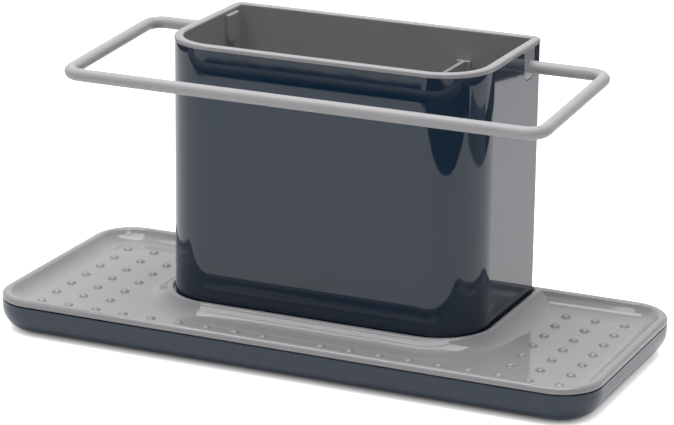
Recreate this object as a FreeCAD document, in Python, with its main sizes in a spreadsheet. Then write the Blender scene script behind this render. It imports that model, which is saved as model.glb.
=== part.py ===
"""Sink caddy: a base tray, a bumped drainer, a tower with a lift-out bin, and a rail round its front.

Millimetres. X runs along the tray, Y runs from front to back and Z is up.
The origin is on the worktop, under the middle of the tray.
"""
import FreeCAD, Part
import math
import os
import Sketcher

# Driving sizes: name, size and what it measures
DRIVING = [
    ("tray_length", 310, "length of the base tray and of the drainer"),
    ("tray_depth", 132, "front to back size of both trays"),
    ("tray_corner", 21, "plan radius of both trays' corners"),
    ("foot_width", 12, "diameter of a foot"),
    ("foot_drop", 0.6, "height of a foot below the base tray"),
    ("foot_recess", 0.8, "depth of a foot's seat in the base tray"),
    ("foot_round", 0.4, "rounding of a foot's lower edge"),
    ("foot_inset", 22, "middle of a foot to the tray's edges"),
    ("foot_clearance", 0.3, "foot to its seat, sideways"),
    ("base_height", 15.1, "height of the base tray without its feet"),
    ("base_wall", 3.3, "wall of the base tray"),
    ("base_floor", 2.2, "floor of the base tray"),
    ("base_round", 11.5, "rounding of the base tray's lower edge"),
    ("base_edge", 0.4, "rounding of the base tray's upper edge"),
    ("well_round", 8.8, "rounding of the floor's edge inside the base tray"),
    ("rebate_lip", 1.2, "lip of the base tray outside the drainer's seat"),
    ("rebate_depth", 2.6, "depth of the drainer's seat below the lip"),
    ("seat_clearance", 0.4, "drainer to base tray, sideways"),
    ("seam_gap", 0.6, "dark joint between the two trays"),
    ("rim_height", 2.95, "height of the drainer's rim above the joint"),
    ("rim_round", 2.2, "rounding of the rim's outer edge"),
    ("rim_flat", 0.8, "flat on top of the rim"),
    ("rim_slope", 10.5, "width of the slope from the rim to the dish floor"),
    ("dish_depth", 5.8, "dish floor below the rim"),
    ("dish_plate", 2, "thickness of the dish floor"),
    ("slope_crest", 2, "rounding where a slope leaves the rim or the collar"),
    ("collar_round", 0.8, "rounding of the collar's inner edge"),
    ("collar_flat", 0.6, "flat on top of the collar"),
    ("collar_slope", 12.2, "width of the slope from the collar to the dish floor"),
    ("collar_gap", 1.2, "collar to tower"),
    ("collar_depth", 2.5, "tower's seat below the collar's top"),
    ("ledge_width", 9, "width of the tower's seat inside the collar"),
    ("ledge_corner", 12, "plan radius of the opening inside the seat"),
    ("bump_pitch", 15, "bump to bump"),
    ("bump_width", 5.3, "diameter of a bump"),
    ("bump_height", 1.45, "height of a bump"),
    ("bump_inset", 19.3, "front row of bumps to the tray's front edge"),
    ("bump_end_inset", 19.9, "least distance from a bump to the tray's end"),
    ("bump_root", 0.3, "depth of a bump's root in the dish floor"),
    ("tower_side_room", 73.4, "tower's end to the tray's end"),
    ("tower_front_room", 39.25, "tower's front to the tray's front edge"),
    ("tower_corner", 26, "plan radius of the tower's front corners"),
    ("tower_rear_corner", 5, "plan radius of the tower's rear corners"),
    ("tower_back_gap", 3.2, "tower's back to the tray's back edge"),
    ("least_corner", 0.6, "smallest plan radius of an inner corner"),
    ("shell_height", 127.85, "height of the tower's outer shell"),
    ("shell_wall", 2, "wall of the outer shell"),
    ("shell_flange", 4, "flange inside the shell's lower edge"),
    ("shell_flange_plate", 2, "thickness of that flange"),
    ("liner_gap", 0.4, "shell to bin liner, all round"),
    ("liner_wall", 1.9, "wall of the bin liner"),
    ("liner_floor", 2, "floor of the bin liner"),
    ("liner_foot_gap", 1.8, "bin liner's underside above the shell's flange"),
    ("cap_height", 2.1, "thickness of the liner's rim on the shell"),
    ("cap_overhang", 0.2, "liner's rim past the shell's face"),
    ("cap_round", 1, "rounding of the rim's upper edges"),
    ("drain_width", 5, "diameter of a drain hole"),
    ("drain_pitch", 20, "least distance from drain hole to drain hole"),
    ("drain_inset", 14, "drain holes to the liner's inner walls and to the divider"),
    ("socket_inset", 16.8, "rail socket's axis to the tower's back"),
    ("socket_drop", 11.05, "rail socket's axis below the rim's top"),
    ("tongue_width", 12.4, "width of the tongue that holds a rail end"),
    ("tongue_lead", 1.2, "tongue's middle in front of the socket's axis"),
    ("tongue_drop", 5.6, "tongue's lower edge below the socket's axis"),
    ("tongue_corner", 4.2, "rounding of the tongue's lower corners"),
    ("tongue_shoulder", 1.6, "rounding where a tongue meets the rim"),
    ("tongue_clearance", 0.4, "tongue to the notch in the shell"),
    ("boss_depth", 1.5, "reach of a socket's boss into the bin"),
    ("boss_round", 1, "rounding of a socket's boss"),
    ("rod_width", 6.2, "diameter of the rail"),
    ("rod_clearance", 0.15, "rail to socket, all round"),
    ("key_cut", 0.8, "depth of each flat on the rail's ends"),
    ("key_clearance", 0.3, "flats of the rail to flats of the socket"),
    ("plug_gap", 0.5, "end of the rail to the end of its socket"),
    ("socket_end", 0.8, "wall at the end of a socket"),
    ("rail_side_gap", 36.2, "clear gap between the tower's end and an arm of the rail"),
    ("rail_front_gap", 15.45, "clear gap between the tower's front and the rail"),
    ("rail_droop", 5.6, "front bar below the sockets"),
    ("rail_bend", 8, "bend radius at the middle of the rail"),
    ("narrow_room", 33.1, "clear width of the narrow compartment beside the divider"),
    ("divider_drop", 14.95, "divider's top below the rim's top"),
    ("divider_web", 2.2, "thickness of the divider"),
    ("divider_flange", 7, "width of the divider's edge flanges"),
    ("flange_plate", 2, "thickness of the divider's edge flanges"),
    ("divider_round", 0.5, "rounding of the divider's upper edges"),
    ("divider_clearance", 0.4, "divider to the bin's walls and guides"),
    ("guide_width", 1.6, "width of a guide rib"),
    ("guide_reach", 2.2, "reach of a guide rib into the bin"),
    ("guide_root", 0.5, "depth of a guide rib's root in the wall"),
    ("guide_height", 70, "height of a guide rib above the bin's floor"),
    ("overrun", 5, "length by which a cut passes the face it starts from"),
]

# Sizes and counts that follow from the driving ones
DERIVED = [
    ("tray_half", "tray_length / 2"),
    ("tray_front", "tray_depth / 2"),
    ("foot_half", "foot_width / 2"),
    ("base_top", "foot_drop + base_height"),
    ("drainer_low", "base_top - rebate_depth"),
    ("drainer_inset", "rebate_lip + seat_clearance"),
    ("plate_inset", "base_wall + seat_clearance"),
    ("rim_low", "base_top + seam_gap"),
    ("rim_top", "rim_low + rim_height"),
    ("dish_floor", "rim_top - dish_depth"),
    ("dish_low", "dish_floor - dish_plate"),
    ("rim_crest", "rim_round + rim_flat"),
    ("rim_foot", "rim_crest + rim_slope"),
    ("rim_turn", "2 * atan(dish_depth / rim_slope)"),
    ("rim_turn_run", "slope_crest * sin(rim_turn)"),
    ("rim_turn_fall", "slope_crest * (1 - cos(rim_turn))"),
    ("collar_crest", "collar_round + collar_flat"),
    ("collar_foot", "collar_crest + collar_slope"),
    ("collar_turn", "2 * atan(dish_depth / collar_slope)"),
    ("collar_turn_run", "slope_crest * sin(collar_turn)"),
    ("collar_turn_fall", "slope_crest * (1 - cos(collar_turn))"),
    ("seat_level", "rim_top - collar_depth"),
    ("collar_low", "min(dish_low; drainer_low)"),
    ("tower_half", "tray_half - tower_side_room"),
    ("tower_back", "tray_front - tower_back_gap"),
    ("tower_front", "tray_front - tower_front_room"),
    ("collar_half", "tower_half + collar_gap"),
    ("collar_front", "tower_front + collar_gap"),
    ("ledge_reach", "ledge_width - collar_gap"),
    ("bump_half", "bump_width / 2"),
    ("bump_row", "tray_front - bump_inset"),
    ("half_bumps", "floor((tray_half - bump_end_inset) / bump_pitch)"),
    ("bump_first", "half_bumps * bump_pitch"),
    ("bump_columns", "1 + floor((bump_first - collar_half - collar_foot - bump_half) / bump_pitch)"),
    ("bump_rows", "floor(2 * bump_row / bump_pitch)"),
    ("shell_top", "seat_level + shell_height"),
    ("bore_rear_corner", "max(tower_rear_corner - shell_wall; least_corner)"),
    ("liner_inset", "shell_wall + liner_gap"),
    ("liner_rear_corner", "max(tower_rear_corner - liner_inset; least_corner)"),
    ("bin_inset", "liner_inset + liner_wall"),
    ("bin_rear_corner", "max(tower_rear_corner - bin_inset; least_corner)"),
    ("flange_inset", "shell_wall + shell_flange"),
    ("flange_rear_corner", "max(tower_rear_corner - flange_inset; least_corner)"),
    ("liner_low", "seat_level + shell_flange_plate + liner_foot_gap"),
    ("bin_floor", "liner_low + liner_floor"),
    ("bin_half", "tower_half - bin_inset"),
    ("bin_front", "tower_front - bin_inset"),
    ("bin_back", "tower_back - bin_inset"),
    ("cap_top", "shell_top + cap_height"),
    ("drain_half", "drain_width / 2"),
    ("web_half", "divider_web / 2"),
    ("divider_offset", "bin_half - narrow_room - web_half"),
    ("drain_length", "bin_half + divider_offset - 2 * drain_inset"),
    ("drain_depth", "bin_front + bin_back - 2 * drain_inset"),
    ("drain_columns", "1 + floor(drain_length / drain_pitch)"),
    ("drain_rows", "1 + floor(drain_depth / drain_pitch)"),
    ("drain_side", "(bin_half + divider_offset) / 2"),
    ("socket_back", "tower_back - socket_inset"),
    ("socket_level", "cap_top - socket_drop"),
    ("tongue_half", "tongue_width / 2"),
    ("tongue_back", "socket_back - tongue_lead"),
    ("tongue_low", "socket_level - tongue_drop"),
    ("boss_face", "bin_half - boss_depth"),
    ("rod_half", "rod_width / 2"),
    ("key_half", "rod_half - key_cut"),
    ("bore_half", "rod_half + rod_clearance"),
    ("slot_half", "key_half + key_clearance"),
    ("slot_reach", "sqrt(bore_half ^ 2 - slot_half ^ 2)"),
    ("rail_half", "tower_half + rail_side_gap + rod_half"),
    ("rail_run", "socket_back + tower_front + rail_front_gap + rod_half"),
    ("rail_reach", "sqrt(rail_run ^ 2 + rail_droop ^ 2)"),
    ("socket_floor", "boss_face + socket_end"),
    ("plug_end", "socket_floor + plug_gap"),
    ("flange_half", "divider_flange / 2"),
    ("divider_front", "bin_front - divider_clearance"),
    ("divider_back", "bin_back - divider_clearance"),
    ("divider_top", "cap_top - divider_drop"),
    ("guide_near", "flange_half + divider_clearance"),
]

# Plans: half width, reach to the front, reach to the back, front and rear corner radius
TRAY = ("tray_half", "tray_front", "tray_front", "tray_corner", "tray_corner")
TOWER = ("tower_half", "tower_front", "tower_back", "tower_corner", "tower_rear_corner")
LEDGE = (
    "tower_half - ledge_reach", "tower_front - ledge_reach", "tower_back - ledge_reach",
    "ledge_corner", "ledge_corner",
)
SIDES = (("left", -1), ("right", 1))
ENDS = (("front", -1), ("rear", 1))

# Points closer than this are the same point
SAME_PLACE = 1e-6

doc = FreeCAD.newDocument("SinkCaddy")
sheet = doc.addObject("Spreadsheet::Sheet", "Sizes")
row = 1
for name, size, note in DRIVING:
    sheet.set("A%d" % row, name)
    sheet.set("B%d" % row, str(size))
    sheet.setAlias("B%d" % row, name)
    sheet.set("C%d" % row, note)
    row += 1
for name, rule in DERIVED:
    sheet.set("A%d" % row, name)
    sheet.set("B%d" % row, "=" + rule)
    sheet.setAlias("B%d" % row, name)
    row += 1
doc.recompute()


def amount(terms):
    """The number that a sum of sheet names stands for, such as 'tower_half - shell_wall'."""
    total = 0
    sign = 1
    for word in terms.split():
        if word in ("+", "-"):
            sign = 1 if word == "+" else -1
        elif word != "0":
            total += sign * getattr(sheet, word)
    return total


def formula(terms):
    """The same sum as an expression that other objects can be bound to."""
    plain = ("+", "-", "0")
    return " ".join(word if word in plain else "Sizes." + word for word in terms.split())


def minus(terms):
    """The same sum with all its signs turned."""
    words = terms.split()
    if words[0] not in ("+", "-"):
        words.insert(0, "+")
    return " ".join({"+": "-", "-": "+"}.get(word, word) for word in words)


def signed(sign, terms):
    """A sum of sheet names on the given side of zero."""
    return terms if sign > 0 else minus(terms)


def new_body(label):
    """An empty body; its label names the sub-part."""
    body = doc.addObject("PartDesign::Body", label)
    body.Label = label
    return body


def origin_feature(body, role):
    """One of the body's own planes or axes."""
    return next(item for item in body.Origin.OriginFeatures if item.Role == role)


def new_sketch(body, name, role, lift="0", aside="0"):
    """A sketch on one of the body's planes, lifted along its normal and moved along its first axis."""
    sketch = body.newObject("Sketcher::SketchObject", body.Label + "_" + name)
    sketch.AttachmentSupport = [(origin_feature(body, role), "")]
    sketch.MapMode = "FlatFace"
    sketch.setExpression("AttachmentOffset.Base.z", formula(lift))
    sketch.setExpression("AttachmentOffset.Base.x", formula(aside))
    return sketch


def pin(sketch, edge, end, axis, terms):
    """Tie one coordinate of an edge's point to a sum of sheet names."""
    if terms == "0":
        sketch.addConstraint(Sketcher.Constraint("PointOnObject", edge, end, -2 if axis == "X" else -1))
        return
    value = amount(terms)
    points = (-1, 1, edge, end) if value >= 0 else (edge, end, -1, 1)
    index = sketch.addConstraint(Sketcher.Constraint("Distance" + axis, *points, abs(value)))
    label = "%s_of_point_%d_%d" % (axis.lower(), edge, end)
    sketch.renameConstraint(index, label)
    sketch.setExpression("Constraints." + label, formula(terms if value >= 0 else minus(terms)))


def arc_centre(start, end, kind, before, after):
    """Centre of an arc that is tangent to the edge before or after it, or centred on a line along Y."""
    if kind in ("before", "after"):
        corner, other = (start, end) if kind == "before" else (end, start)
        way = before if kind == "before" else after
        normal = FreeCAD.Vector(-way.y, way.x, 0).normalize()
        chord = other - corner
        return corner + normal * (chord.dot(chord) / (2 * chord.dot(normal)))
    middle = amount(kind)
    first = (start.x - middle) ** 2 + start.y ** 2
    last = (end.x - middle) ** 2 + end.y ** 2
    return FreeCAD.Vector(middle, (first - last) / (2 * (start.y - end.y)), 0)


def outline(sketch, corners, arcs=None, closed=True):
    """Draw edges through corners, each a pair of sums of sheet names, and tie every corner to them.

    arcs gives, for the number of an edge, 'before' or 'after' for an arc that is tangent to the edge
    before or after it, or else the sum of sheet names that its centre stands at along X.
    """
    arcs = arcs or {}
    spots = [FreeCAD.Vector(amount(x), amount(y), 0) for x, y in corners]
    count = len(corners) if closed else len(corners) - 1
    ends = []
    for edge in range(count):
        start = spots[edge]
        end = spots[(edge + 1) % len(spots)]
        if edge not in arcs:
            sketch.addGeometry(Part.LineSegment(start, end))
            ends.append((1, 2))
            continue
        before = start - spots[edge - 1]
        after = spots[(edge + 2) % len(spots)] - end
        centre = arc_centre(start, end, arcs[edge], before, after)
        towards = {"before": (before, start), "after": (after, end)}.get(arcs[edge])
        if towards:
            left = towards[0].cross(centre - towards[1]).z > 0
        else:
            left = (start - centre).cross(end - centre).z > 0
        first, last = (start, end) if left else (end, start)
        angles = [math.atan2(spot.y - centre.y, spot.x - centre.x) for spot in (first, last)]
        if angles[1] <= angles[0]:
            angles[1] += 2 * math.pi
        circle = Part.Circle(centre, FreeCAD.Vector(0, 0, 1), (start - centre).Length)
        sketch.addGeometry(Part.ArcOfCircle(circle, *angles))
        ends.append((1, 2) if left else (2, 1))
    for edge in range(count if closed else count - 1):
        follower = (edge + 1) % count
        tangent = arcs.get(edge) == "after" or arcs.get(follower) == "before"
        kind = "Tangent" if tangent else "Coincident"
        sketch.addConstraint(Sketcher.Constraint(kind, edge, ends[edge][1], follower, ends[follower][0]))
    for edge in range(count):
        pin(sketch, edge, ends[edge][0], "X", corners[edge][0])
        pin(sketch, edge, ends[edge][0], "Y", corners[edge][1])
        if arcs.get(edge, "before") not in ("before", "after"):
            pin(sketch, edge, 3, "X", arcs[edge])
    if not closed:
        pin(sketch, count - 1, ends[-1][1], "X", corners[-1][0])
        pin(sketch, count - 1, ends[-1][1], "Y", corners[-1][1])
    return sketch


def mirrored(points):
    """The same points on the other side of the middle, so that an outline can run on through them."""
    return [(minus(x), y) for x, y in reversed(points)]


def plan_points(plan, offset="", rear_corner=None):
    """Ends of a plan's round corners, moved in or out by the offset, such as '- shell_wall'."""
    half, front, back, corner, rear = [(terms + " " + offset).strip() for terms in plan]
    rear = rear_corner or rear
    right = [
        (half + " " + minus(corner), minus(front)),
        (half, minus(front) + " + " + corner),
        (half, back + " " + minus(rear)),
        (half + " " + minus(rear), back),
    ]
    return right + mirrored(right)


def rounded_plan(sketch, plan, offset="", rear_corner=None):
    """A rectangle with round corners, moved in or out by the offset."""
    corners = {0: "before", 2: "before", 4: "before", 6: "before"}
    return outline(sketch, plan_points(plan, offset, rear_corner), corners)


def disc(sketch, width_half, along="0", across="0"):
    """A circle whose radius and centre are sums of sheet names."""
    centre = FreeCAD.Vector(amount(along), amount(across), 0)
    sketch.addGeometry(Part.Circle(centre, FreeCAD.Vector(0, 0, 1), amount(width_half)))
    index = sketch.addConstraint(Sketcher.Constraint("Radius", 0, amount(width_half)))
    sketch.renameConstraint(index, "radius")
    sketch.setExpression("Constraints.radius", formula(width_half))
    pin(sketch, 0, 3, "X", along)
    pin(sketch, 0, 3, "Y", across)
    return sketch


def rectangle(sketch, low_x, high_x, low_y, high_y):
    """A rectangle between sums of sheet names."""
    return outline(sketch, [(low_x, low_y), (high_x, low_y), (high_x, high_y), (low_x, high_y)])


def feature(body, kind, name, grows, may_miss=False):
    """Add a feature to a body; finish() makes sure that it adds, or removes, material."""
    doc.recompute()
    before = body.Shape.Volume if body.Tip else 0
    item = body.newObject("PartDesign::" + kind, body.Label + "_" + name)

    def finish():
        body.Tip = item
        doc.recompute()
        change = body.Shape.Volume - before
        if change * (1 if grows else -1) < (0 if may_miss else SAME_PLACE):
            raise RuntimeError("%s changes the volume by %.3f" % (item.Name, change))
        return item
    return item, finish


def pad(body, name, sketch, length, back=False):
    """Material from a sketch along its normal, or against it."""
    item, finish = feature(body, "Pad", name, True)
    item.Profile = sketch
    item.setExpression("Length", formula(length))
    item.Reversed = back
    return finish()


def pocket(body, name, sketch, depth, back=False, both=False, may_miss=False):
    """A cut from a sketch against its normal, along it, or to both sides with this whole length."""
    item, finish = feature(body, "Pocket", name, False, may_miss)
    item.Profile = sketch
    item.setExpression("Length", formula(depth))
    item.Reversed = back
    if both:
        item.SideType = "Symmetric"
    return finish()


def pipe(body, name, profile, path):
    """Material swept from a profile along a path."""
    item, finish = feature(body, "AdditivePipe", name, True)
    item.Profile = profile
    item.Spine = (path, ["Edge%d" % (index + 1) for index in range(len(path.Shape.Edges))])
    return finish()


def fillet(body, name, radius, test, grows=False):
    """Round the edges of a body whose vertices all pass a test; inner corners grow."""
    base = body.Tip
    item, finish = feature(body, "Fillet", name, grows)
    chosen = []
    for number, edge in enumerate(base.Shape.Edges, 1):
        if all(test(spot.Point) for spot in edge.Vertexes):
            chosen.append("Edge%d" % number)
    item.Base = (base, chosen)
    item.setExpression("Radius", formula(radius))
    return finish()


def pattern(body, name, original, runs):
    """Repeat a feature evenly along one or two axes: role, kind of step, step, count, reversed."""
    doc.recompute()
    item = body.newObject("PartDesign::LinearPattern", body.Label + "_" + name)
    item.Originals = [original]
    for suffix, (role, mode, step, count, back) in zip(("", "2"), runs):
        setattr(item, "Direction" + suffix, (origin_feature(body, role), [""]))
        setattr(item, "Mode" + suffix, mode)
        setattr(item, "Spacings" + suffix, [])
        item.setExpression(("Length" if mode == "Extent" else "Offset") + suffix, formula(step))
        item.setExpression("Occurrences" + suffix, formula(count))
        setattr(item, "Reversed" + suffix, back)
    body.Tip = item
    doc.recompute()
    return item


def at_height(terms):
    """A test for points at a height."""
    level = amount(terms)
    return lambda point: abs(point.z - level) < SAME_PLACE


def corners_of_tray():
    """The name of each corner of the tray and the place of its foot."""
    for end, front in ENDS:
        for side, right in SIDES:
            along = signed(right, "tray_half - foot_inset")
            across = signed(front, "tray_front - foot_inset")
            yield end + "_" + side, along, across


def make_base_tray():
    """Lower tray that catches the water, with a seat for the drainer inside its lip."""
    body = new_body("base_tray")
    plan = rounded_plan(new_sketch(body, "plan", "XY_Plane", "foot_drop"), TRAY)
    pad(body, "block", plan, "base_height")
    fillet(body, "upper_edge", "base_edge", at_height("base_top"))
    well = rounded_plan(new_sketch(body, "well_plan", "XY_Plane", "base_top"), TRAY, "- base_wall")
    pocket(body, "well", well, "base_height - base_floor")
    fillet(body, "well_edge", "well_round", at_height("foot_drop + base_floor"), grows=True)
    fillet(body, "lower_edge", "base_round", at_height("foot_drop"))
    seat = rounded_plan(new_sketch(body, "seat_plan", "XY_Plane", "base_top"), TRAY, "- rebate_lip")
    pocket(body, "seat", seat, "rebate_depth")
    for corner, along, across in corners_of_tray():
        sketch = new_sketch(body, corner + "_recess_plan", "XY_Plane", "foot_drop")
        disc(sketch, "foot_half + foot_clearance", along, across)
        pocket(body, corner + "_recess", sketch, "foot_recess", back=True)
    return body


def make_foot(corner, along, across):
    """Rubber pad let into the base tray's underside."""
    body = new_body("foot_" + corner)
    pad(body, "disc", disc(new_sketch(body, "plan", "XY_Plane"), "foot_half"), "foot_drop + foot_recess")
    fillet(body, "edge", "foot_round", at_height("0"))
    body.setExpression("Placement.Base.x", formula(along))
    body.setExpression("Placement.Base.y", formula(across))
    return body


def add_rim(body):
    """Rim round the drainer: outer band, rounded top and a slope that sweeps down into the dish."""
    path = new_sketch(body, "rim_path", "XY_Plane", "dish_floor")
    corners = {1: "before", 3: "before", 5: "before", 7: "before"}
    outline(path, [("0", "- tray_front")] + plan_points(TRAY), corners)
    edge = "- tray_front + "
    profile = new_sketch(body, "rim_profile", "YZ_Plane")
    outline(profile, [
        ("- tray_front", "rim_low"),
        ("- tray_front", "rim_top - rim_round"),
        (edge + "rim_round", "rim_top"),
        (edge + "rim_crest", "rim_top"),
        (edge + "rim_crest + rim_turn_run", "rim_top - rim_turn_fall"),
        (edge + "rim_foot", "dish_floor"),
        (edge + "rim_foot + dish_plate", "dish_floor"),
        (edge + "rim_foot + dish_plate", "dish_low"),
        (edge + "plate_inset", "dish_low"),
        (edge + "plate_inset", "drainer_low"),
        (edge + "drainer_inset", "drainer_low"),
        (edge + "drainer_inset", "rim_low"),
    ], {1: "before", 3: "before", 4: "after"})
    pipe(body, "rim", profile, path)


def add_collar(body):
    """Collar round the tower's foot, on the front and the sides, with its own slope into the dish."""
    path = new_sketch(body, "collar_path", "XY_Plane", "dish_floor")
    right = [
        ("tower_half - tower_corner", "- collar_front"),
        ("collar_half", "- tower_front + tower_corner"),
        ("collar_half", "tray_front - rim_crest"),
    ]
    outline(path, mirrored(right) + right, {1: "before", 3: "before"}, closed=False)
    face = "- collar_front - "
    profile = new_sketch(body, "collar_profile", "YZ_Plane")
    outline(profile, [
        ("- collar_front", "collar_low"),
        ("- collar_front", "rim_top - collar_round"),
        (face + "collar_round", "rim_top"),
        (face + "collar_crest", "rim_top"),
        (face + "collar_crest - collar_turn_run", "rim_top - collar_turn_fall"),
        (face + "collar_foot", "dish_floor"),
        (face + "collar_foot - dish_plate", "dish_floor"),
        (face + "collar_foot - dish_plate", "collar_low"),
    ], {1: "before", 3: "before", 4: "after"})
    pipe(body, "collar", profile, path)


def add_bump(body, name, along, across):
    """One low round bump on the dish floor."""
    sketch = new_sketch(body, name + "_profile", "XZ_Plane", minus(across), along)
    outline(sketch, [
        ("0", "dish_floor - bump_root"),
        ("bump_half", "dish_floor - bump_root"),
        ("0", "dish_floor + bump_height"),
    ], {1: "0"})
    item, finish = feature(body, "Revolution", name, True)
    item.Profile = sketch
    item.ReferenceAxis = (sketch, ["V_Axis"])
    return finish()


def make_drainer_tray():
    """Upper tray: a bumped dish inside a rim, with a collar and a seat for the tower."""
    body = new_body("drainer_tray")
    plate = rounded_plan(new_sketch(body, "plate_plan", "XY_Plane", "dish_low"), TRAY, "- plate_inset")
    pad(body, "plate", plate, "dish_plate")
    add_rim(body)
    add_collar(body)
    seat = rounded_plan(new_sketch(body, "seat_plan", "XY_Plane", "collar_low"), TOWER, "+ collar_gap")
    pad(body, "seat", seat, "seat_level - collar_low")
    trim = new_sketch(body, "back_trim_plan", "XY_Plane", "drainer_low")
    rectangle(trim, "- tray_half", "tray_half", "tray_front - plate_inset", "tray_front")
    pocket(body, "back_trim", trim, "drainer_low - collar_low + overrun", may_miss=True)
    room = new_sketch(body, "room_plan", "XY_Plane", "rim_top + overrun")
    pocket(body, "room", rounded_plan(room, TOWER, "+ collar_gap"), "collar_depth + overrun")
    opening = rounded_plan(new_sketch(body, "opening_plan", "XY_Plane", "seat_level + overrun"), LEDGE)
    pocket(body, "opening", opening, "seat_level - dish_low + overrun + overrun")
    for side, right in SIDES:
        end = signed(right, "bump_first")
        first = add_bump(body, side + "_front_bump", end, "- bump_row")
        run = ("X_Axis", "Spacing", "bump_pitch", "half_bumps", right > 0)
        pattern(body, side + "_front_bumps", first, [run])
        first = add_bump(body, side + "_bump", end, "- bump_row + bump_pitch")
        pattern(body, side + "_bumps", first, [
            ("X_Axis", "Spacing", "bump_pitch", "bump_columns", right > 0),
            ("Y_Axis", "Spacing", "bump_pitch", "bump_rows", False),
        ])
    return body


def tongue_outline(sketch, clearance, top):
    """Outline of a tongue under the rim, or of its notch: round corners, and shoulders that flare."""
    edge = [
        ("tongue_half + tongue_shoulder", top),
        ("tongue_half + tongue_shoulder", "shell_top - " + clearance),
        ("tongue_half + " + clearance, "shell_top - tongue_shoulder"),
        ("tongue_half + " + clearance, "tongue_low + tongue_corner"),
        ("tongue_half - tongue_corner", "tongue_low - " + clearance),
    ]
    front = [("tongue_back " + minus(half), level) for half, level in edge]
    back = [("tongue_back + " + half, level) for half, level in reversed(edge)]
    return outline(sketch, front + back, {1: "after", 3: "before", 5: "before", 7: "before"})


def make_tower_shell():
    """Outer sleeve of the tower, open at both ends, with a notch in each end wall for a tongue."""
    body = new_body("tower_shell")
    plan = rounded_plan(new_sketch(body, "plan", "XY_Plane", "seat_level"), TOWER)
    pad(body, "block", plan, "shell_height")
    bore = new_sketch(body, "bore_plan", "XY_Plane", "shell_top + overrun")
    rounded_plan(bore, TOWER, "- shell_wall", "bore_rear_corner")
    pocket(body, "bore", bore, "shell_height - shell_flange_plate + overrun")
    mouth = new_sketch(body, "mouth_plan", "XY_Plane", "seat_level + shell_flange_plate + overrun")
    rounded_plan(mouth, TOWER, "- flange_inset", "flange_rear_corner")
    pocket(body, "mouth", mouth, "shell_flange_plate + overrun + overrun")
    notch = new_sketch(body, "notch_outline", "YZ_Plane")
    tongue_outline(notch, "tongue_clearance", "shell_top + overrun")
    pocket(body, "notches", notch, "tower_half + tower_half + overrun", both=True)
    return body


def add_socket(body, side, right):
    """Tongue, boss and keyed bore that hold one end of the rail."""
    sketch = new_sketch(body, side + "_tongue_outline", "YZ_Plane", signed(right, "bin_half"))
    tongue_outline(sketch, "0", "cap_top - cap_round")
    pad(body, side + "_tongue", sketch, "bin_inset", back=right < 0)
    sketch = new_sketch(body, side + "_boss_outline", "YZ_Plane", signed(right, "bin_half + liner_wall"))
    outline(sketch, [
        ("socket_back - tongue_half", "shell_top"),
        ("socket_back - tongue_half", "socket_level"),
        ("socket_back + tongue_half", "socket_level"),
        ("socket_back + tongue_half", "shell_top"),
    ], {1: "before"})
    pad(body, side + "_boss", sketch, "liner_wall + boss_depth", back=right > 0)
    face = amount(signed(right, "boss_face"))
    fillet(body, side + "_boss_edge", "boss_round", lambda point: abs(point.x - face) < SAME_PLACE)
    sketch = new_sketch(body, side + "_bore_outline", "YZ_Plane", signed(right, "tower_half + overrun"))
    outline(sketch, [
        ("socket_back - slot_reach", "socket_level + slot_half"),
        ("socket_back + slot_reach", "socket_level + slot_half"),
        ("socket_back + slot_reach", "socket_level - slot_half"),
        ("socket_back - slot_reach", "socket_level - slot_half"),
    ], {1: "socket_back", 3: "socket_back"})
    pocket(body, side + "_bore", sketch, "tower_half - socket_floor + overrun", back=right < 0)


def make_bin_liner():
    """Lift-out bin that hangs in the shell by its rim, with sockets for the rail and guide ribs."""
    body = new_body("bin_liner")
    plan = new_sketch(body, "plan", "XY_Plane", "liner_low")
    rounded_plan(plan, TOWER, "- liner_inset", "liner_rear_corner")
    pad(body, "block", plan, "shell_top - liner_low")
    cap = rounded_plan(new_sketch(body, "cap_plan", "XY_Plane", "shell_top"), TOWER, "+ cap_overhang")
    pad(body, "cap", cap, "cap_height")
    room = new_sketch(body, "room_plan", "XY_Plane", "cap_top")
    rounded_plan(room, TOWER, "- bin_inset", "bin_rear_corner")
    pocket(body, "room", room, "cap_top - bin_floor")
    fillet(body, "cap_edges", "cap_round", at_height("cap_top"))
    for side, right in SIDES:
        add_socket(body, side, right)
    for end, front in ENDS:
        wall = "bin_front" if front < 0 else "bin_back"
        for side, right in SIDES:
            near = "divider_offset " + signed(right, "+ guide_near")
            far = near + " " + signed(right, "+ guide_width")
            root = signed(front, wall + " + guide_root")
            tip = signed(front, wall + " - guide_reach")
            name = end + "_" + side + "_guide"
            sketch = new_sketch(body, name + "_plan", "XY_Plane", "bin_floor")
            pad(body, name, rectangle(sketch, near, far, root, tip), "guide_height")
    wide = new_sketch(body, "wide_drain_plan", "XY_Plane", "bin_floor")
    disc(wide, "drain_half", "- bin_half + drain_inset", "- bin_front + drain_inset")
    hole = pocket(body, "wide_drain", wide, "liner_floor + overrun")
    columns = ("X_Axis", "Extent", "drain_length", "drain_columns", False)
    rows = ("Y_Axis", "Extent", "drain_depth", "drain_rows", False)
    pattern(body, "wide_drains", hole, [columns, rows])
    narrow = new_sketch(body, "narrow_drain_plan", "XY_Plane", "bin_floor")
    disc(narrow, "drain_half", "drain_side", "- bin_front + drain_inset")
    hole = pocket(body, "narrow_drain", narrow, "liner_floor + overrun")
    pattern(body, "narrow_drains", hole, [rows])
    return body


def make_divider():
    """Upright panel with a flange along each edge, standing between the guides."""
    body = new_body("divider")
    right = [
        ("flange_half", "- divider_front"),
        ("flange_half", "- divider_front + flange_plate"),
        ("web_half", "- divider_front + flange_plate"),
        ("web_half", "divider_back - flange_plate"),
        ("flange_half", "divider_back - flange_plate"),
        ("flange_half", "divider_back"),
    ]
    section = new_sketch(body, "section", "XY_Plane", "bin_floor", "divider_offset")
    pad(body, "panel", outline(section, right + mirrored(right)), "divider_top - bin_floor")
    fillet(body, "top_edge", "divider_round", at_height("divider_top"))
    return body


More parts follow.
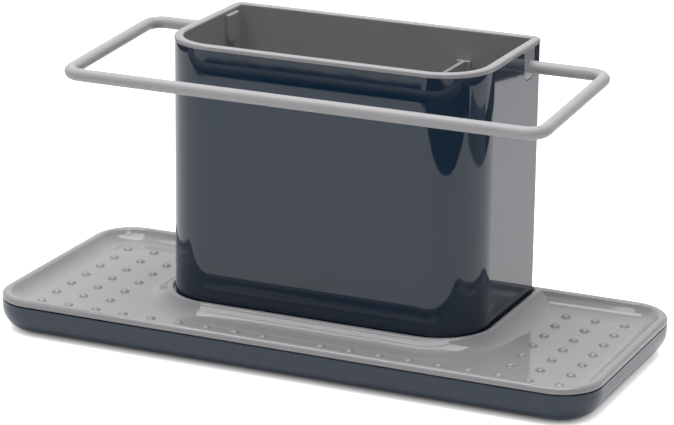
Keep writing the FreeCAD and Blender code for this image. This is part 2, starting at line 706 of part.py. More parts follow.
def make_rail():
    """Bent rod round the front of the tower; flats on its ends key it in its sockets."""
    body = new_body("rail")
    right = [
        ("rail_half - rail_bend", "- rail_reach"),
        ("rail_half", "- rail_reach + rail_bend"),
        ("rail_half", "- rail_bend"),
        ("rail_half - rail_bend", "0"),
        ("plug_end", "0"),
    ]
    path = new_sketch(body, "path", "XY_Plane")
    bends = {1: "before", 3: "before", 5: "before", 7: "before"}
    outline(path, mirrored(right) + right, bends, closed=False)
    profile = disc(new_sketch(body, "profile", "YZ_Plane", "- plug_end"), "rod_half")
    pipe(body, "rod", profile, path)
    for name, side in (("upper", 1), ("lower", -1)):
        sketch = new_sketch(body, name + "_flat_outline", "YZ_Plane")
        low, high = signed(side, "key_half"), signed(side, "rod_half + overrun")
        rectangle(sketch, "- rod_half - overrun", "rod_half + overrun", low, high)
        pocket(body, name + "_flats", sketch, "tower_half + tower_half", both=True)
    tilt = math.degrees(math.atan(amount("rail_droop") / amount("rail_run")))
    body.Placement.Rotation = FreeCAD.Rotation(FreeCAD.Vector(1, 0, 0), tilt)
    body.setExpression("Placement.Rotation.Angle", "atan(Sizes.rail_droop / Sizes.rail_run)")
    body.setExpression("Placement.Base.y", formula("socket_back"))
    body.setExpression("Placement.Base.z", formula("socket_level"))
    return body


parts = [make_base_tray()]
parts += [make_foot(*place) for place in corners_of_tray()]
parts += [make_drainer_tray(), make_tower_shell(), make_bin_liner(), make_divider(), make_rail()]
doc.recompute()

for item in doc.Objects:
    if "Invalid" in item.State or "Error" in item.State:
        raise RuntimeError(item.Name + " did not recompute")
for part in parts:
    if part.Shape.isNull() or not part.Shape.isValid() or len(part.Shape.Solids) != 1:
        raise RuntimeError(part.Label + " is not one sound solid")

os.makedirs("parts", exist_ok=True)
for part in parts:
    part.Shape.exportStep("parts/%s.step" % part.Label)
    print("%s: %.0f mm3" % (part.Label, part.Shape.Volume))
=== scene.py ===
"""Looks of the kitchen sink caddy: finishes for its moulded pieces, ridged rubber feet, and a
studio stage.

Lengths are in metres, in the frame of the CAD model: +X along the tray, +Y to the back, +Z up.
"""

import math

import bpy
from bpy.props import FloatProperty, FloatVectorProperty, IntProperty, PointerProperty
from mathutils import Matrix, Vector


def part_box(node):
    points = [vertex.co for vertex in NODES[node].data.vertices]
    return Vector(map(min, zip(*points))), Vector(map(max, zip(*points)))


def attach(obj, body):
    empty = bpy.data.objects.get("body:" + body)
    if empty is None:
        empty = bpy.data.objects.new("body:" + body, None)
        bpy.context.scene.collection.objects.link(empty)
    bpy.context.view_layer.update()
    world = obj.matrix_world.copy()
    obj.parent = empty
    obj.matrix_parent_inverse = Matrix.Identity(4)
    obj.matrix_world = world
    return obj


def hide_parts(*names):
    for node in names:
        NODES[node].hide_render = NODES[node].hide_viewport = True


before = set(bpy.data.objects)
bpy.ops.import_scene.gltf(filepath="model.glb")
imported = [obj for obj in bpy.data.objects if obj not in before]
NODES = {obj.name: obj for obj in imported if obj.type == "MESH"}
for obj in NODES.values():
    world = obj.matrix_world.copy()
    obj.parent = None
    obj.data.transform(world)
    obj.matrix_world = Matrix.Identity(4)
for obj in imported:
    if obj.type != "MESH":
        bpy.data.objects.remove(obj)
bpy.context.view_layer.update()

bl_info = {
    "name": "Sink caddy looks",
    "version": (1, 0, 0),
    "blender": (4, 5, 0),
    "location": "View3D > Sidebar > Caddy",
    "description": "Finishes, feet and studio stage for a kitchen sink caddy",
    "category": "Object",
}

FEET = ("foot_front_left", "foot_front_right", "foot_rear_left", "foot_rear_right")
FOOT_LOW, FOOT_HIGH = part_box(FEET[0])
FOOT_MIDDLE = (FOOT_LOW + FOOT_HIGH) / 2
FOOT_SIDES = 48                     # sides of the round foot
FOOT_SMOOTH = math.radians(32)      # edges of the foot flatter than this are shaded smooth
MIDDLE_REACH = 0.0002               # how near its axis the middle face of the sole has its centre
LOOKS_DOWN = -0.9                   # a normal with a lower Z looks down

NODE_STEP = 200                     # spacing of the nodes in the shader editor
FLOAT_A, FLOAT_B, FLOAT_OUT = 2, 3, 0       # sockets of a Mix node for numbers
COLOUR_A, COLOUR_B, COLOUR_OUT = 6, 7, 2    # sockets of a Mix node for colours
DUST_COLOUR = (0.55, 0.54, 0.52, 1)
RUBBER_IOR = 1.5

SENSOR_WIDTH = 36                   # millimetres
VIEW_REACH = 20                     # how far the camera sees
WALL_SIDE = (-0.5, 0.85, 0)         # the way to the pale wall, behind the caddy and to its left
WALL_EDGE, WALL_FULL = 0.1, 0.85    # share of that way at which the wall begins and is whole
ROOM_GLOSS = 0.3                    # share of the white room that polished pieces mirror
FLOOR_SIZE = 8
PAPER_COLOUR = (0.9, 0.9, 0.9, 1)
BACK_RIGHT = (1, 1, 0)              # the way in which the floor's glow rises
FLOOR_SPREAD = 0.5                  # how far it rises that way
PAINTED_SHADOW_REACH = 0.03                # how near a piece has to be to darken the floor's glow: a painted contact shadow
OPEN_SHARE = 0.5                    # share of open air at which the painted contact shadow ends and that glow is whole
CARD_LIFT = 0.0005                  # height of the cards over the floor
CARD_ROUGHNESS = 0.9
CARD_BLUE = 1.05                    # blue of a card over its red and green
DARK, PALE = 0.11, 0.4              # shades of the cards

# Cards on the floor that only polished pieces mirror: name, the two ends of the edge that faces
# the caddy, depth and shade
CARDS = (
    ("card_front", (-0.285, -0.481), (-0.06, -0.481), 0.031, DARK),
    ("card_left", (-0.62, -0.226), (-0.268, -0.488), 0.035, DARK),
    ("card_corner", (-0.075, -0.498), (0.462, -0.158), 0.2, DARK),
    ("card_between", (0.467, -0.24), (0.521, -0.088), 0.17, DARK),
    ("card_near_right", (0.467, -0.10), (0.361, 0.21), 0.13, PALE),
    ("card_right", (0.361, 0.21), (0.15, 0.83), 0.1, DARK),
)


# ---------------------------------------------------------------- sizes and colours

class CaddyFinish(bpy.types.PropertyGroup):
    """Colours and gloss of the caddy's materials."""

    slate: FloatVectorProperty(
        name="Slate", description="Colour of the base tray and the tower",
        subtype="COLOR", min=0, max=1, default=(0.005, 0.024, 0.053))
    slate_roughness: FloatProperty(
        name="Slate roughness", description="Roughness of the slate plastic where it is cleanest",
        subtype="FACTOR", min=0, max=1, default=0.025)
    slate_ior: FloatProperty(
        name="Slate IOR", description="Refractive index of the slate plastic",
        min=1, max=2.5, default=1.55)
    grey: FloatVectorProperty(
        name="Grey", description="Colour of the drainer, the bin and the divider",
        subtype="COLOR", min=0, max=1, default=(0.385, 0.379, 0.393))
    grey_roughness: FloatProperty(
        name="Grey roughness", description="Roughness of the grey plastic where it is cleanest",
        subtype="FACTOR", min=0, max=1, default=0.07)
    grey_ior: FloatProperty(
        name="Grey IOR", description="Refractive index of the grey plastic",
        min=1, max=2.5, default=1.5)
    rail: FloatVectorProperty(
        name="Rail", description="Colour of the rail's coating",
        subtype="COLOR", min=0, max=1, default=(0.495, 0.488, 0.503))
    rail_roughness: FloatProperty(
        name="Rail roughness", description="Roughness of the rail's coating",
        subtype="FACTOR", min=0, max=1, default=0.3)
    rail_ior: FloatProperty(
        name="Rail IOR", description="Refractive index of the rail's coating",
        min=1, max=2.5, default=1.33)
    rubber: FloatVectorProperty(
        name="Rubber", description="Colour of the feet",
        subtype="COLOR", min=0, max=1, default=(0.024, 0.024, 0.025))
    rubber_roughness: FloatProperty(
        name="Rubber roughness", description="Roughness of the feet where they are cleanest",
        subtype="FACTOR", min=0, max=1, default=0.62)
    edge_radius: FloatProperty(
        name="Edge radius", description="How far the moulded edges are eased",
        unit="LENGTH", min=0, default=0.0004)
    peel_depth: FloatProperty(
        name="Peel depth", description="Height of the faint ripple in the moulded skin",
        unit="LENGTH", min=0, default=0.00002)


class CaddyFoot(bpy.types.PropertyGroup):
    """Sizes of the rubber feet; their outer size is that of the CAD nodes."""

    chamfer: FloatProperty(
        name="Chamfer", description="Bevel round the foot's lower edge",
        unit="LENGTH", min=0, default=0.0003)
    grooves: IntProperty(
        name="Grooves", description="Ring grooves in the foot's sole",
        min=0, max=5, default=3)
    groove_width: FloatProperty(
        name="Groove width", description="Width of a ring groove",
        unit="LENGTH", min=0, default=0.0007)
    groove_depth: FloatProperty(
        name="Groove depth", description="Depth of a ring groove",
        unit="LENGTH", min=0, default=0.0004)


class CaddyStage(bpy.types.PropertyGroup):
    """Camera, light and floor."""

    camera_place: FloatVectorProperty(
        name="Camera place", description="Where the camera stands",
        subtype="TRANSLATION", unit="LENGTH", default=(0.566929, -1.26774, 0.500213))
    camera_yaw: FloatProperty(
        name="Camera yaw", description="Turn of the camera about the vertical",
        subtype="ANGLE", default=math.radians(24.017))
    camera_pitch: FloatProperty(
        name="Camera pitch", description="How far the camera looks down",
        subtype="ANGLE", default=math.radians(17.425))
    camera_roll: FloatProperty(
        name="Camera roll", description="Turn of the camera about its own axis",
        subtype="ANGLE", default=math.radians(0.67))
    camera_lens: FloatProperty(
        name="Focal length", description="Focal length in millimetres on a sensor 36 mm wide",
        min=1, default=161.525)
    softbox_place: FloatVectorProperty(
        name="Softbox place", description="Centre of the softbox that hangs level above the caddy",
        subtype="TRANSLATION", unit="LENGTH", default=(-0.1, -0.06, 1.4))
    softbox_size: FloatVectorProperty(
        name="Softbox size", description="Width and depth of the softbox",
        size=2, unit="LENGTH", default=(1.4, 1.15))
    softbox_glow: FloatProperty(
        name="Softbox glow", description="Radiance of the softbox's cloth",
        min=0, default=4.35)
    back_glow: FloatProperty(
        name="Back glow", description="Radiance of the pale wall behind the caddy and to its left",
        min=0, default=1.0)
    front_glow: FloatProperty(
        name="Front glow", description="Radiance of the rest of the room",
        min=0, default=0.12)
    floor_glow: FloatProperty(
        name="Floor glow",
        description="White that polished pieces mirror from the floor beyond its light",
        min=0, default=0.32)
    floor_far_glow: FloatProperty(
        name="Far floor glow", description="The same for the floor at the back right",
        min=0, default=0.5)


# ---------------------------------------------------------------- nodes

def add_node(tree, kind, place, inputs=None, **settings):
    """Adds a shader node at (column, row) of the editor and sets its inputs and settings."""
    item = tree.nodes.new("ShaderNode" + kind)
    item.location = (place[0] * NODE_STEP, place[1] * -NODE_STEP)
    for name, value in settings.items():
        setattr(item, name, value)
    for name, value in (inputs or {}).items():
        item.inputs[name].default_value = value
    return item


def new_group(name, inputs, outputs):
    """Makes a node group with named sockets and returns its tree, input node and output node."""
    tree = bpy.data.node_groups.new(name, "ShaderNodeTree")
    for label, kind, value in inputs:
        socket = tree.interface.new_socket(label, in_out="INPUT", socket_type=kind)
        if value is not None:
            socket.default_value = value
    for label in outputs:
        tree.interface.new_socket(label, in_out="OUTPUT", socket_type="NodeSocketFloat")
    entry = tree.nodes.new("NodeGroupInput")
    entry.location = (-NODE_STEP, 0)
    leave = tree.nodes.new("NodeGroupOutput")
    leave.location = (5 * NODE_STEP, 0)
    return tree, entry, leave


def moulded_skin():
    """Skin of moulded plastic: a slow ripple, a drift of the pigment and marks of wiping."""
    name = "Moulded skin"
    if name in bpy.data.node_groups:
        return bpy.data.node_groups[name]
    tree, entry, leave = new_group(name, [
        ("Vector", "NodeSocketVector", None),
        ("Ripple Scale", "NodeSocketFloat", 160),
        ("Grain Scale", "NodeSocketFloat", 2500),
        ("Grain Share", "NodeSocketFloat", 0.15),
    ], ("Peel", "Drift", "Smear"))
    link = tree.links.new
    ripple = add_node(tree, "TexNoise", (0, 0), {"Detail": 1.0, "Roughness": 0.4})
    grain = add_node(tree, "TexNoise", (0, 1), {"Detail": 2.0, "Roughness": 0.6})
    peel = add_node(tree, "Mix", (2, 0), data_type="FLOAT")
    link(entry.outputs["Vector"], ripple.inputs["Vector"])
    link(entry.outputs["Ripple Scale"], ripple.inputs["Scale"])
    link(entry.outputs["Vector"], grain.inputs["Vector"])
    link(entry.outputs["Grain Scale"], grain.inputs["Scale"])
    link(entry.outputs["Grain Share"], peel.inputs["Factor"])
    link(ripple.outputs["Fac"], peel.inputs[FLOAT_A])
    link(grain.outputs["Fac"], peel.inputs[FLOAT_B])
    link(peel.outputs[FLOAT_OUT], leave.inputs["Peel"])

    pigment = add_node(tree, "TexNoise", (0, 2), {
        "Scale": 14.0, "Detail": 4.0, "Roughness": 0.55})
    drift = add_node(tree, "MapRange", (2, 2), {"From Min": 0.3, "From Max": 0.7})
    link(entry.outputs["Vector"], pigment.inputs["Vector"])
    link(pigment.outputs["Fac"], drift.inputs["Value"])
    link(drift.outputs["Result"], leave.inputs["Drift"])

    stroke = add_node(tree, "Mapping", (0, 3), {
        "Rotation": (0.1, 0.15, 0.4), "Scale": (6, 14, 45)})
    wipe = add_node(tree, "TexNoise", (1, 3), {
        "Scale": 1.0, "Detail": 5.0, "Roughness": 0.6})
    smear = add_node(tree, "MapRange", (2, 3), {"From Min": 0.42, "From Max": 0.74})
    link(entry.outputs["Vector"], stroke.inputs["Vector"])
    link(stroke.outputs["Vector"], wipe.inputs["Vector"])
    link(wipe.outputs["Fac"], smear.inputs["Value"])
    link(smear.outputs["Result"], leave.inputs["Smear"])
    return tree


def settled_dust():
    """A trace of dust on faces that look up, broken up in specks and patches."""
    name = "Settled dust"
    if name in bpy.data.node_groups:
        return bpy.data.node_groups[name]
    tree, entry, leave = new_group(name, [
        ("Vector", "NodeSocketVector", None),
        ("Patch Scale", "NodeSocketFloat", 35),
        ("Speck Scale", "NodeSocketFloat", 1800),
    ], ("Dust",))
    link = tree.links.new
    face = add_node(tree, "NewGeometry", (0, 0))
    split = add_node(tree, "SeparateXYZ", (1, 0))
    level = add_node(tree, "MapRange", (2, 0), {"From Min": 0.6, "From Max": 1.0})
    patch = add_node(tree, "TexNoise", (0, 1), {"Detail": 3.0})
    speck = add_node(tree, "TexNoise", (0, 2), {"Detail": 2.0})
    fine = add_node(tree, "MapRange", (2, 2), {"From Min": 0.5, "From Max": 0.75})
    patches = add_node(tree, "Math", (3, 1), operation="MULTIPLY")
    dust = add_node(tree, "Math", (4, 0), operation="MULTIPLY")
    link(face.outputs["Normal"], split.inputs["Vector"])
    link(split.outputs["Z"], level.inputs["Value"])
    link(entry.outputs["Vector"], patch.inputs["Vector"])
    link(entry.outputs["Patch Scale"], patch.inputs["Scale"])
    link(entry.outputs["Vector"], speck.inputs["Vector"])
    link(entry.outputs["Speck Scale"], speck.inputs["Scale"])
    link(speck.outputs["Fac"], fine.inputs["Value"])
    link(patch.outputs["Fac"], patches.inputs[0])
    link(fine.outputs["Result"], patches.inputs[1])
    link(level.outputs["Result"], dust.inputs[0])
    link(patches.outputs["Value"], dust.inputs[1])
    link(dust.outputs["Value"], leave.inputs["Dust"])
    return tree


# ---------------------------------------------------------------- materials

def tinted(colour, factor):
    """The colour made lighter or darker by a factor, as a shader colour."""
    return tuple(min(1.0, channel * factor) for channel in colour) + (1.0,)


def moulded_material(name, colour, roughness, ior, *, ripple, grain, grain_share, depth,
                     drift, rough_rise, dust, edge_radius):
    """Material of a moulded or coated piece, from the shared skin and dust.

    Ripple, grain and its share, and depth shape the skin. Drift is the change in the pigment,
    rough_rise the roughness that wiping adds, and dust the share of dust on faces that look up.
    """
    if name in bpy.data.materials:
        return bpy.data.materials[name]
    material = bpy.data.materials.new(name)
    material.use_nodes = True
    tree = material.node_tree
    tree.nodes.clear()
    link = tree.links.new

    place = add_node(tree, "TexCoord", (-3, 0))
    skin = add_node(tree, "Group", (-2, 0), node_tree=moulded_skin())
    skin.inputs["Ripple Scale"].default_value = ripple
    skin.inputs["Grain Scale"].default_value = grain
    skin.inputs["Grain Share"].default_value = grain_share
    specks = add_node(tree, "Group", (-2, 2), node_tree=settled_dust())
    for group in (skin, specks):
        link(place.outputs["Object"], group.inputs["Vector"])

    pigment = add_node(tree, "Mix", (-1, 0), data_type="RGBA")
    pigment.inputs[COLOUR_A].default_value = tinted(colour, 1 - drift)
    pigment.inputs[COLOUR_B].default_value = tinted(colour, 1 + drift)
    link(skin.outputs["Drift"], pigment.inputs["Factor"])
    film = add_node(tree, "Math", (-1, 2), {1: dust}, operation="MULTIPLY")
    link(specks.outputs["Dust"], film.inputs[0])
    topcoat = add_node(tree, "Mix", (0, 0), data_type="RGBA")
    topcoat.inputs[COLOUR_B].default_value = DUST_COLOUR
    link(film.outputs["Value"], topcoat.inputs["Factor"])
    link(pigment.outputs[COLOUR_OUT], topcoat.inputs[COLOUR_A])

    gloss = add_node(tree, "MapRange", (-1, 1), {
        "To Min": roughness, "To Max": roughness + rough_rise})
    link(skin.outputs["Smear"], gloss.inputs["Value"])
    eased = add_node(tree, "Bevel", (-1, 3), {"Radius": edge_radius}, samples=6)
    relief = add_node(tree, "Bump", (0, 2), {"Strength": 1.0, "Distance": depth})
    link(skin.outputs["Peel"], relief.inputs["Height"])
    link(eased.outputs["Normal"], relief.inputs["Normal"])

    surface = add_node(tree, "BsdfPrincipled", (1, 0), {"IOR": ior})
    link(topcoat.outputs[COLOUR_OUT], surface.inputs["Base Color"])
    link(gloss.outputs["Result"], surface.inputs["Roughness"])
    link(relief.outputs["Normal"], surface.inputs["Normal"])
    leave = add_node(tree, "OutputMaterial", (2.5, 0))
    link(surface.outputs["BSDF"], leave.inputs["Surface"])
    return material


def slate_plastic(finish):
    """Polished slate-coloured plastic."""
    return moulded_material(
        "slate_gloss_plastic", finish.slate, finish.slate_roughness, finish.slate_ior,
        ripple=110, grain=2600, grain_share=0.04, depth=finish.peel_depth / 2, drift=0.06,
        rough_rise=0.02, dust=0.05, edge_radius=finish.edge_radius)


def grey_plastic(finish):
    """Light grey plastic with a soft gloss."""
    return moulded_material(
        "grey_satin_plastic", finish.grey, finish.grey_roughness, finish.grey_ior,
        ripple=190, grain=2600, grain_share=0.1, depth=finish.peel_depth, drift=0.03,
        rough_rise=0.05, dust=0.08, edge_radius=finish.edge_radius)


def rail_coating(finish):
    """Grey coating on the steel rod."""
    return moulded_material(
        "rail_satin_coating", finish.rail, finish.rail_roughness, finish.rail_ior,
        ripple=420, grain=3600, grain_share=0.35, depth=finish.peel_depth, drift=0.03,
        rough_rise=0.1, dust=0.06, edge_radius=finish.edge_radius)


def foot_rubber(finish):
    """Matt dark rubber."""
    return moulded_material(
        "foot_rubber", finish.rubber, finish.rubber_roughness, RUBBER_IOR,
        ripple=700, grain=5000, grain_share=0.6, depth=finish.peel_depth * 1.5, drift=0.18,
        rough_rise=0.2, dust=0.3, edge_radius=finish.edge_radius / 2)


def dress(names, material):
    """Gives the material to CAD nodes that stay as they are."""
    for name in names:
        mesh = NODES[name].data
        mesh.materials.clear()
        mesh.materials.append(material)


# ---------------------------------------------------------------- pieces

class CADDY_OT_base_tray(bpy.types.Operator):
    """Finish the low tray that stands on the worktop"""

    bl_idname = "caddy.base_tray"
    bl_label = "Base tray"

    def execute(self, context):
        dress(("base_tray",), slate_plastic(context.scene.caddy_finish))
        return {"FINISHED"}


class CADDY_OT_drainer_tray(bpy.types.Operator):
    """Finish the drainer with its rows of bumps"""

    bl_idname = "caddy.drainer_tray"
    bl_label = "Drainer tray"

    def execute(self, context):
        dress(("drainer_tray",), grey_plastic(context.scene.caddy_finish))
        return {"FINISHED"}


class CADDY_OT_tower(bpy.types.Operator):
    """Finish the tower's sleeve, the bin in it and the bin's divider"""

    bl_idname = "caddy.tower"
    bl_label = "Tower and bin"

    def execute(self, context):
        finish = context.scene.caddy_finish
        dress(("tower_shell",), slate_plastic(finish))
        dress(("bin_liner", "divider"), grey_plastic(finish))
        return {"FINISHED"}


class CADDY_OT_rail(bpy.types.Operator):
    """Finish the rail round the tower's front"""

    bl_idname = "caddy.rail"
    bl_label = "Rail"

    def execute(self, context):
        dress(("rail",), rail_coating(context.scene.caddy_finish))
        return {"FINISHED"}


def select_faces(mesh, wanted):
    """In edit mode, selects the faces whose centre and normal pass the test, and only those."""
    bpy.ops.mesh.select_all(action="DESELECT")
    bpy.ops.object.mode_set(mode="OBJECT")
    found = 0
    for face in mesh.polygons:
        face.select = wanted(face.center, face.normal)
        found += face.select
    bpy.ops.object.mode_set(mode="EDIT")
    if not found:
        raise RuntimeError("no face was found to shape")


class CADDY_OT_feet(bpy.types.Operator):
    """Model a round rubber foot with ring grooves in its sole, and set one at each corner"""

    bl_idname = "caddy.feet"
    bl_label = "Feet"

    def execute(self, context):
        foot = self.model_foot(context.scene.caddy_foot)
        rubber = foot_rubber(context.scene.caddy_finish)
        pieces = [foot]
        for name in FEET[1:]:
            low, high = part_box(name)
            piece = foot.copy()
            piece.data = foot.data.copy()
            context.collection.objects.link(piece)
            piece.data.transform(Matrix.Translation((low + high) / 2 - FOOT_MIDDLE))
            pieces.append(piece)
        for name, piece in zip(FEET, pieces):
            piece.name = name.replace("foot", "ridged_foot")
            piece.data.name = piece.name
            piece.data.materials.clear()
            piece.data.materials.append(rubber)
            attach(piece, "base")
            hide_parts(name)
        return {"FINISHED"}

    @staticmethod
    def model_foot(sizes):
        """One foot, where the front left CAD foot is."""
        radius = (FOOT_HIGH.x - FOOT_LOW.x) / 2
        bpy.ops.object.select_all(action="DESELECT")
        bpy.ops.mesh.primitive_cylinder_add(
            vertices=FOOT_SIDES, radius=radius, depth=FOOT_HIGH.z - FOOT_LOW.z,
            location=FOOT_MIDDLE)
        foot = bpy.context.object
        bpy.ops.object.transform_apply(location=True, rotation=False, scale=False)
        bpy.ops.object.mode_set(mode="EDIT")

        def is_sole(centre, normal):
            return normal.z < LOOKS_DOWN

        def is_middle(centre, normal):
            return is_sole(centre, normal) and (centre - FOOT_MIDDLE).xy.length < MIDDLE_REACH

        select_faces(foot.data, is_sole)
        bpy.ops.mesh.bevel(offset=sizes.chamfer, segments=3, affect="EDGES")
        land = (radius - sizes.chamfer) / (sizes.grooves + 1) - sizes.groove_width
        slope, floor = sizes.groove_width / 4, sizes.groove_width / 2
        for _ in range(sizes.grooves):
            select_faces(foot.data, is_middle)
            bpy.ops.mesh.inset(thickness=land)
            bpy.ops.mesh.inset(thickness=slope, depth=-sizes.groove_depth)
            bpy.ops.mesh.inset(thickness=floor)
            bpy.ops.mesh.inset(thickness=slope, depth=sizes.groove_depth)
        bpy.ops.mesh.select_all(action="SELECT")
        bpy.ops.mesh.normals_make_consistent(inside=False)
        bpy.ops.object.mode_set(mode="OBJECT")
        bpy.ops.object.shade_smooth_by_angle(angle=FOOT_SMOOTH)
        return foot


# ---------------------------------------------------------------- stage

def lens_rays(tree, place, gloss):
    """A mask of the rays that show the background: whole where it is seen straight, and a share,
    a number or a socket, where it is mirrored or seen through glass."""
    rays = add_node(tree, "LightPath", place)
    turned = add_node(tree, "Math", (place[0] + 1, place[1]), operation="MAXIMUM")
    share = add_node(tree, "Math", (place[0] + 2, place[1]), operation="MULTIPLY")
    shown = add_node(tree, "Math", (place[0] + 3, place[1]), operation="MAXIMUM")
    link = tree.links.new
    link(rays.outputs["Is Glossy Ray"], turned.inputs[0])
    link(rays.outputs["Is Transmission Ray"], turned.inputs[1])
    link(turned.outputs["Value"], share.inputs[0])
    if isinstance(gloss, bpy.types.NodeSocket):
        link(gloss, share.inputs[1])
    else:
        share.inputs[1].default_value = gloss
    link(share.outputs["Value"], shown.inputs[0])
    link(rays.outputs["Is Camera Ray"], shown.inputs[1])
    return shown.outputs["Value"]


def floor_material(glow, far_glow):
    """White paper: it takes the caddy's shadow, and shows white to the lens where it lies open;
    its glow is dimmed near the pieces by ambient occlusion, a painted contact shadow.
    """
    material = bpy.data.materials.new("white_paper")
    material.use_nodes = True
    tree = material.node_tree
    tree.nodes.clear()
    link = tree.links.new
    where = add_node(tree, "TexCoord", (-4, 2))
    reach = add_node(tree, "VectorMath", (-3, 2), {1: BACK_RIGHT}, operation="DOT_PRODUCT")
    mirrored = add_node(tree, "MapRange", (-2, 2), {
        "From Max": FLOOR_SPREAD, "To Min": glow, "To Max": far_glow})
    # ambient occlusion dims the floor's glow near the pieces: a painted contact shadow
    near = add_node(tree, "AmbientOcclusion", (-1, 2), {"Distance": PAINTED_SHADOW_REACH})
    painted_shadow_factor = add_node(tree, "MapRange", (0, 2), {"From Max": OPEN_SHARE})
    lift = add_node(tree, "Math", (1, 1), operation="MULTIPLY")
    paper = add_node(tree, "BsdfDiffuse", (2, 0), {"Color": PAPER_COLOUR})
    glowing = add_node(tree, "Emission", (2, 1))
    both = add_node(tree, "AddShader", (3, 0))
    leave = add_node(tree, "OutputMaterial", (4, 0))
    link(where.outputs["Object"], reach.inputs[0])
    link(reach.outputs["Value"], mirrored.inputs["Value"])
    link(near.outputs["AO"], painted_shadow_factor.inputs["Value"])
    link(lens_rays(tree, (-3, 1), mirrored.outputs["Result"]), lift.inputs[0])
    link(painted_shadow_factor.outputs["Result"], lift.inputs[1])
    link(lift.outputs["Value"], glowing.inputs["Strength"])
    link(paper.outputs["BSDF"], both.inputs[0])
    link(glowing.outputs["Emission"], both.inputs[1])
    link(both.outputs["Shader"], leave.inputs["Surface"])
    return material


def card_material(name, shade):
    """Card for the mirror lines in the tower's gloss."""
    material = bpy.data.materials.new(name)
    material.use_nodes = True
    surface = material.node_tree.nodes["Principled BSDF"]
    surface.inputs["Base Color"].default_value = (shade, shade, shade * CARD_BLUE, 1)
    surface.inputs["Roughness"].default_value = CARD_ROUGHNESS
    return material


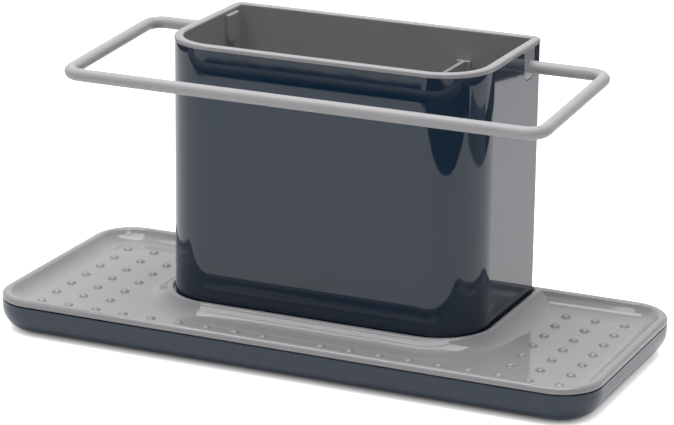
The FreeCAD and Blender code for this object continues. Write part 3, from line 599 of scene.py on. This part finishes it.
class CADDY_OT_stage(bpy.types.Operator):
    """Set the camera, the softbox, the room's glow, the white floor and the cards"""

    bl_idname = "caddy.stage"
    bl_label = "Stage"

    def execute(self, context):
        stage = context.scene.caddy_stage
        self.set_camera(context.scene, stage)
        self.hang_softbox(stage)
        self.light_room(context.scene, stage)
        self.lay_floor(stage)
        self.lay_cards()
        context.scene.view_settings.view_transform = "Standard"
        return {"FINISHED"}

    @staticmethod
    def set_camera(scene, stage):
        aim = (Matrix.Rotation(stage.camera_yaw, 3, "Z")
               @ Matrix.Rotation(math.pi / 2 - stage.camera_pitch, 3, "X")
               @ Matrix.Rotation(stage.camera_roll, 3, "Z"))
        bpy.ops.object.camera_add(location=stage.camera_place, rotation=aim.to_euler())
        camera = bpy.context.object
        camera.name = "camera"
        camera.data.sensor_fit = "HORIZONTAL"
        camera.data.sensor_width = SENSOR_WIDTH
        camera.data.lens = stage.camera_lens
        camera.data.clip_end = VIEW_REACH
        scene.camera = camera

    @staticmethod
    def hang_softbox(stage):
        bpy.ops.object.light_add(type="AREA", location=stage.softbox_place)
        softbox = bpy.context.object
        softbox.name = "softbox"
        softbox.data.shape = "RECTANGLE"
        width, depth = stage.softbox_size
        softbox.data.size, softbox.data.size_y = width, depth
        softbox.data.energy = math.pi * stage.softbox_glow * width * depth

    @staticmethod
    def light_room(scene, stage):
        world = bpy.data.worlds.new("white_room")
        world.use_nodes = True
        scene.world = world
        tree = world.node_tree
        tree.nodes.clear()
        link = tree.links.new
        way = add_node(tree, "TexCoord", (-3, 0))
        share = add_node(tree, "VectorMath", (-2, 0), {1: WALL_SIDE}, operation="DOT_PRODUCT")
        wall = add_node(tree, "MapRange", (-1, 0), {
            "From Min": WALL_EDGE, "From Max": WALL_FULL,
            "To Min": stage.front_glow, "To Max": stage.back_glow},
            interpolation_type="SMOOTHSTEP")
        shown = add_node(tree, "Mix", (0, 0), data_type="FLOAT")
        shown.inputs[FLOAT_B].default_value = 1
        room = add_node(tree, "Background", (1, 0))
        leave = add_node(tree, "OutputWorld", (2, 0))
        link(way.outputs["Generated"], share.inputs[0])
        link(share.outputs["Value"], wall.inputs["Value"])
        link(lens_rays(tree, (-4, 1), ROOM_GLOSS), shown.inputs["Factor"])
        link(wall.outputs["Result"], shown.inputs[FLOAT_A])
        link(shown.outputs[FLOAT_OUT], room.inputs["Strength"])
        link(room.outputs["Background"], leave.inputs["Surface"])

    @staticmethod
    def lay_floor(stage):
        bpy.ops.mesh.primitive_plane_add(size=FLOOR_SIZE)
        floor = bpy.context.object
        floor.name = "floor"
        paper = floor_material(stage.floor_glow, stage.floor_far_glow)
        floor.data.materials.append(paper)

    @staticmethod
    def lay_cards():
        for name, start, end, depth, shade in CARDS:
            start, end = Vector(start), Vector(end)
            along = (end - start).normalized()
            away = Vector((along.y, -along.x))
            middle = (start + end) / 2 + away * depth / 2
            bpy.ops.mesh.primitive_plane_add(
                size=1, location=(middle.x, middle.y, CARD_LIFT),
                rotation=(0, 0, math.atan2(along.y, along.x)))
            card = bpy.context.object
            card.scale = ((end - start).length, depth, 1)
            bpy.ops.object.transform_apply(location=True, rotation=True, scale=True)
            card.name = name
            card.data.materials.append(card_material(name, shade))
            card.visible_camera = False
            card.visible_diffuse = False
            card.visible_transmission = False
            card.visible_shadow = False


# ---------------------------------------------------------------- add-on

PIECES = (CADDY_OT_base_tray, CADDY_OT_feet, CADDY_OT_drainer_tray, CADDY_OT_tower,
          CADDY_OT_rail)


class CADDY_PT_looks(bpy.types.Panel):
    """Lists the caddy's pieces and its stage"""

    bl_idname = "CADDY_PT_looks"
    bl_label = "Sink caddy"
    bl_space_type = "VIEW_3D"
    bl_region_type = "UI"
    bl_category = "Caddy"

    def draw(self, context):
        for piece in PIECES + (CADDY_OT_stage,):
            self.layout.operator(piece.bl_idname)
        scene = context.scene
        for settings in (scene.caddy_finish, scene.caddy_foot, scene.caddy_stage):
            box = self.layout.box()
            for name in settings.__annotations__:
                box.prop(settings, name)


CLASSES = (CaddyFinish, CaddyFoot, CaddyStage) + PIECES + (CADDY_OT_stage, CADDY_PT_looks)


def register():
    for item in CLASSES:
        bpy.utils.register_class(item)
    bpy.types.Scene.caddy_finish = PointerProperty(type=CaddyFinish)
    bpy.types.Scene.caddy_foot = PointerProperty(type=CaddyFoot)
    bpy.types.Scene.caddy_stage = PointerProperty(type=CaddyStage)


def unregister():
    del bpy.types.Scene.caddy_stage
    del bpy.types.Scene.caddy_foot
    del bpy.types.Scene.caddy_finish
    for item in reversed(CLASSES):
        bpy.utils.unregister_class(item)


def main():
    register()
    bpy.ops.caddy.base_tray()
    bpy.ops.caddy.feet()
    bpy.ops.caddy.drainer_tray()
    bpy.ops.caddy.tower()
    bpy.ops.caddy.rail()
    bpy.ops.caddy.stage()


if __name__ == "__main__":
    main()
